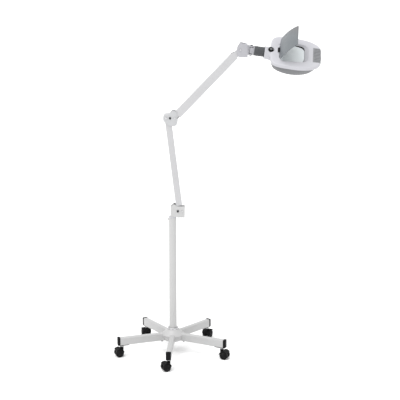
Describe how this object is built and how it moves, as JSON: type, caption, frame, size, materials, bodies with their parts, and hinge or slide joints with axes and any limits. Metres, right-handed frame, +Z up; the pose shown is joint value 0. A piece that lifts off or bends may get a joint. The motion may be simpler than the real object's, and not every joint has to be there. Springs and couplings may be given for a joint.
{
  "type": "magnifying lamp",
  "caption": "Magnifying lamp on a rolling star base: column, two-part parallelogram arm, ribbed roll collar and an oval head with a lens and a hinged lens cover.",
  "frame": {"origin": "on the floor, on the column's axis", "axes": "+Z up along the column, the arm folds in the XZ plane and carries the head towards +X, the front leg points along -Y"},
  "size_m": [1.0338, 0.5698, 1.6876],
  "materials": {
    "powder_white": "satin powder coat",
    "tube_white": "satin powder coat",
    "arm_white": "satin powder coat",
    "bracket_white": "satin powder coat",
    "plastic_white": "semi-gloss moulded",
    "plastic_black": "matt moulded",
    "wheel_black": "matt moulded nylon",
    "collar_grey": "matt moulded",
    "shell_grey": "fine texture",
    "lid_grey": "semi-gloss",
    "lens_glass": "polished",
    "diffuser_white": "frosted",
    "board": "solder mask",
    "steel_bright": "zinc plated",
    "steel_dark": "black oxide"
  },
  "bodies": {
    "base": {"hub": "powder_white", "leg_1": "powder_white", "leg_2": "powder_white", "leg_3": "powder_white", "leg_4": "powder_white", "leg_5": "powder_white", "leg_end_plugs": "plastic_black", "caster_stems": "steel_bright", "hub_bolts": "steel_dark", "foot_collar": "steel_bright", "column_tube": "tube_white", "column_cap": "plastic_white", "column_set_screw": "powder_white"},
    "caster_1": {"caster_hood_1": "plastic_black"},
    "wheels_1": {"caster_wheels_1": "wheel_black"},
    "caster_2": {"caster_hood_2": "plastic_black"},
    "wheels_2": {"caster_wheels_2": "wheel_black"},
    "caster_3": {"caster_hood_3": "plastic_black"},
    "wheels_3": {"caster_wheels_3": "wheel_black"},
    "caster_4": {"caster_hood_4": "plastic_black"},
    "wheels_4": {"caster_wheels_4": "wheel_black"},
    "caster_5": {"caster_hood_5": "plastic_black"},
    "wheels_5": {"caster_wheels_5": "wheel_black"},
    "swivel": {"swivel_post": "steel_bright", "base_bracket": "bracket_white", "arm_bumper": "plastic_black", "cord_gland": "plastic_black", "base_tension_screw": "steel_dark", "base_pivot_pin": "steel_bright"},
    "lower_arm": {"lower_bar": "arm_white", "lower_spring": "steel_bright"},
    "lower_parallel": {"lower_link": "arm_white"},
    "elbow": {"elbow_bracket": "plastic_white", "elbow_tension_screw": "steel_dark", "elbow_pivot_pins": "steel_bright"},
    "upper_arm": {"upper_bar": "arm_white", "upper_spring": "steel_bright"},
    "upper_parallel": {"upper_link": "arm_white"},
    "arm_end": {"end_link": "arm_white"},
    "tilt": {"tilt_bracket": "plastic_white", "tilt_screw": "steel_bright", "swivel_pin": "steel_dark", "swivel_washers": "plastic_black"},
    "neck": {"neck_spindle": "plastic_white", "collar_ring": "collar_grey", "spindle_nut": "steel_bright"},
    "head": {"ribbed_collar": "collar_grey", "neck_bush": "plastic_black", "head_cover": "plastic_white", "lower_shell": "shell_grey", "lens_frame": "plastic_black", "lens": "lens_glass", "diffuser": "diffuser_white", "led_board": "board", "end_grille": "shell_grey", "lid_hinge": "plastic_black", "lid_hinge_pin": "steel_bright", "knob_bezel": "plastic_white"},
    "lid": {"lid": "lid_grey"},
    "knob": {"dimmer_knob": "plastic_black"}
  },
  "joints": [
    {"name": "caster_1_swivel", "type": "hinge", "parent": "base", "child": "caster_1", "pos_m": [-0.01776, -0.26741, 0.045], "axis": [0, 0, 1], "continuous": true},
    {"name": "caster_1_roll", "type": "hinge", "parent": "caster_1", "child": "wheels_1", "pos_m": [-0.03238, -0.27392, 0.021], "axis": [0.4067, -0.9135, 0], "continuous": true},
    {"name": "caster_2_swivel", "type": "hinge", "parent": "base", "child": "caster_2", "pos_m": [0.24883, -0.09953, 0.045], "axis": [0, 0, 1], "continuous": true},
    {"name": "caster_2_roll", "type": "hinge", "parent": "caster_2", "child": "wheels_2", "pos_m": [0.26345, -0.10603, 0.021], "axis": [0.4067, 0.9135, 0], "continuous": true},
    {"name": "caster_3_swivel", "type": "hinge", "parent": "base", "child": "caster_3", "pos_m": [0.17155, 0.2059, 0.045], "axis": [0, 0, 1], "continuous": true},
    {"name": "caster_3_roll", "type": "hinge", "parent": "caster_3", "child": "wheels_3", "pos_m": [0.17806, 0.22052, 0.021], "axis": [-0.9135, 0.4067, 0], "continuous": true},
    {"name": "caster_4_swivel", "type": "hinge", "parent": "base", "child": "caster_4", "pos_m": [-0.14281, 0.22678, 0.045], "axis": [0, 0, 1], "continuous": true},
    {"name": "caster_4_roll", "type": "hinge", "parent": "caster_4", "child": "wheels_4", "pos_m": [-0.14668, 0.2423, 0.021], "axis": [-0.9703, -0.2419, 0], "continuous": true},
    {"name": "caster_5_swivel", "type": "hinge", "parent": "base", "child": "caster_5", "pos_m": [-0.25981, -0.06574, 0.045], "axis": [0, 0, 1], "continuous": true},
    {"name": "caster_5_roll", "type": "hinge", "parent": "caster_5", "child": "wheels_5", "pos_m": [-0.27485, -0.07122, 0.021], "axis": [0.342, -0.9397, 0], "continuous": true},
    {"name": "base_swivel", "type": "hinge", "parent": "base", "child": "swivel", "pos_m": [0, 0, 0.72], "axis": [0, 0, 1], "range_deg": [-170, 170]},
    {"name": "lower_arm_lean", "type": "hinge", "parent": "swivel", "child": "lower_arm", "pos_m": [0.027, 0, 0.753], "axis": [0, 1, 0], "range_deg": [-2, 60]},
    {"name": "lower_link_follow", "type": "hinge", "parent": "swivel", "child": "lower_parallel", "pos_m": [0.0476, 0, 0.753], "axis": [0, 1, 0], "range_deg": [-2, 60]},
    {"name": "elbow_level", "type": "hinge", "parent": "lower_arm", "child": "elbow", "pos_m": [-0.03067, 0, 1.22952], "axis": [0, 1, 0], "range_deg": [-60, 2]},
    {"name": "upper_arm_lift", "type": "hinge", "parent": "elbow", "child": "upper_arm", "pos_m": [0.01283, 0, 1.22952], "axis": [0, 1, 0], "range_deg": [-30, 55]},
    {"name": "upper_link_follow", "type": "hinge", "parent": "elbow", "child": "upper_parallel", "pos_m": [0.02119, 0, 1.21957], "axis": [0, 1, 0], "range_deg": [-30, 55]},
    {"name": "end_level", "type": "hinge", "parent": "upper_arm", "child": "arm_end", "pos_m": [0.33498, 0, 1.569], "axis": [0, 1, 0], "range_deg": [-55, 30]},
    {"name": "head_tilt", "type": "hinge", "parent": "arm_end", "child": "tilt", "pos_m": [0.33498, 0, 1.569], "axis": [0, 1, 0], "range_deg": [-60, 35]},
    {"name": "head_swivel", "type": "hinge", "parent": "tilt", "child": "neck", "pos_m": [0.38778, 0, 1.56615], "axis": [0.1392, 0, 0.9903], "range_deg": [-70, 70]},
    {"name": "head_roll", "type": "hinge", "parent": "neck", "child": "head", "pos_m": [0.4472, 0, 1.5578], "axis": [0.9903, 0, -0.1392], "range_deg": [-110, 60]},
    {"name": "lid_open", "type": "hinge", "parent": "head", "child": "lid", "pos_m": [0.52765, -0.0133, 1.56976], "axis": [-0.0696, -0.866, -0.4951], "range_deg": [-56, 25]},
    {"name": "dimmer_turn", "type": "hinge", "parent": "head", "child": "knob", "pos_m": [0.48508, -0.00925, 1.56865], "axis": [0.0984, -0.7071, 0.7002], "range_deg": [-135, 135]}
  ],
  "couplings": [
    {"joint": "lower_link_follow", "follows": "lower_arm_lean", "ratio": 1},
    {"joint": "elbow_level", "follows": "lower_arm_lean", "ratio": -1},
    {"joint": "upper_link_follow", "follows": "upper_arm_lift", "ratio": 1},
    {"joint": "end_level", "follows": "upper_arm_lift", "ratio": -1}
  ]
}
